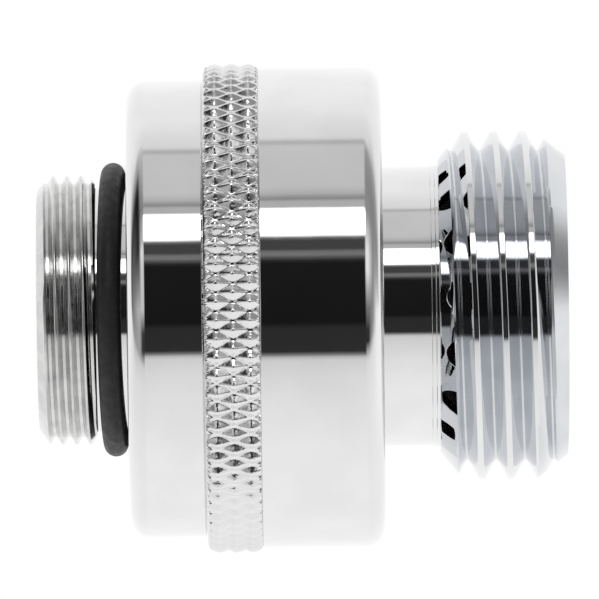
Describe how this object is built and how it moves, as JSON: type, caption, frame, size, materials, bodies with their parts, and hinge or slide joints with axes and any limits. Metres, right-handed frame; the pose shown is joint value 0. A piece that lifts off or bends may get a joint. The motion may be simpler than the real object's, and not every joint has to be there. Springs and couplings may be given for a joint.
{
  "type": "hose bib vacuum breaker",
  "caption": "Chromed vacuum breaker: external hose thread at the outlet, vented cup with check and diaphragm inside, knurled lock ring, external inlet thread with O-ring.",
  "frame": {"origin": "centre of the hose outlet's end face", "axes": "+Z along the axis from the hose outlet up to the inlet thread; the part is round, so X and Y are only set by the vent holes"},
  "size_m": [0.0374, 0.0374, 0.0402],
  "materials": {
    "polished_chrome": "mirror-polished chrome plate on turned brass, satin on the inlet thread",
    "seal_rubber": "matt black moulded rubber",
    "hard_plastic": "moulded natural acetal",
    "slip_brass": "stamped brass strip",
    "spring_steel": "drawn stainless wire and stamped clip"
  },
  "bodies": {
    "breaker_body": {"outlet_body": "polished_chrome", "knurled_ring": "polished_chrome", "inlet_body": "polished_chrome", "inlet_o_ring": "seal_rubber", "slip_ring": "slip_brass", "diaphragm": "seal_rubber", "vent_spring": "spring_steel"},
    "vent_valve": {"check_hub": "hard_plastic", "diaphragm_retainer": "hard_plastic", "check_spring": "spring_steel"},
    "check_valve": {"check_poppet": "hard_plastic", "poppet_seal": "seal_rubber", "push_washer": "spring_steel", "spring_cap": "hard_plastic", "stem_clip": "spring_steel"}
  },
  "joints": [
    {"name": "vent_slide", "type": "slide", "parent": "breaker_body", "child": "vent_valve", "axis": [0, 0, -1], "range_m": [0, 0.0011], "stiffness_N_per_m": 300, "springref_m": -0.004, "deforming": ["vent_spring", "diaphragm"]},
    {"name": "check_slide", "type": "slide", "parent": "vent_valve", "child": "check_valve", "axis": [0, 0, -1], "range_m": [0, 0.0025], "stiffness_N_per_m": 150, "springref_m": -0.004, "deforming": ["check_spring"]}
  ]
}
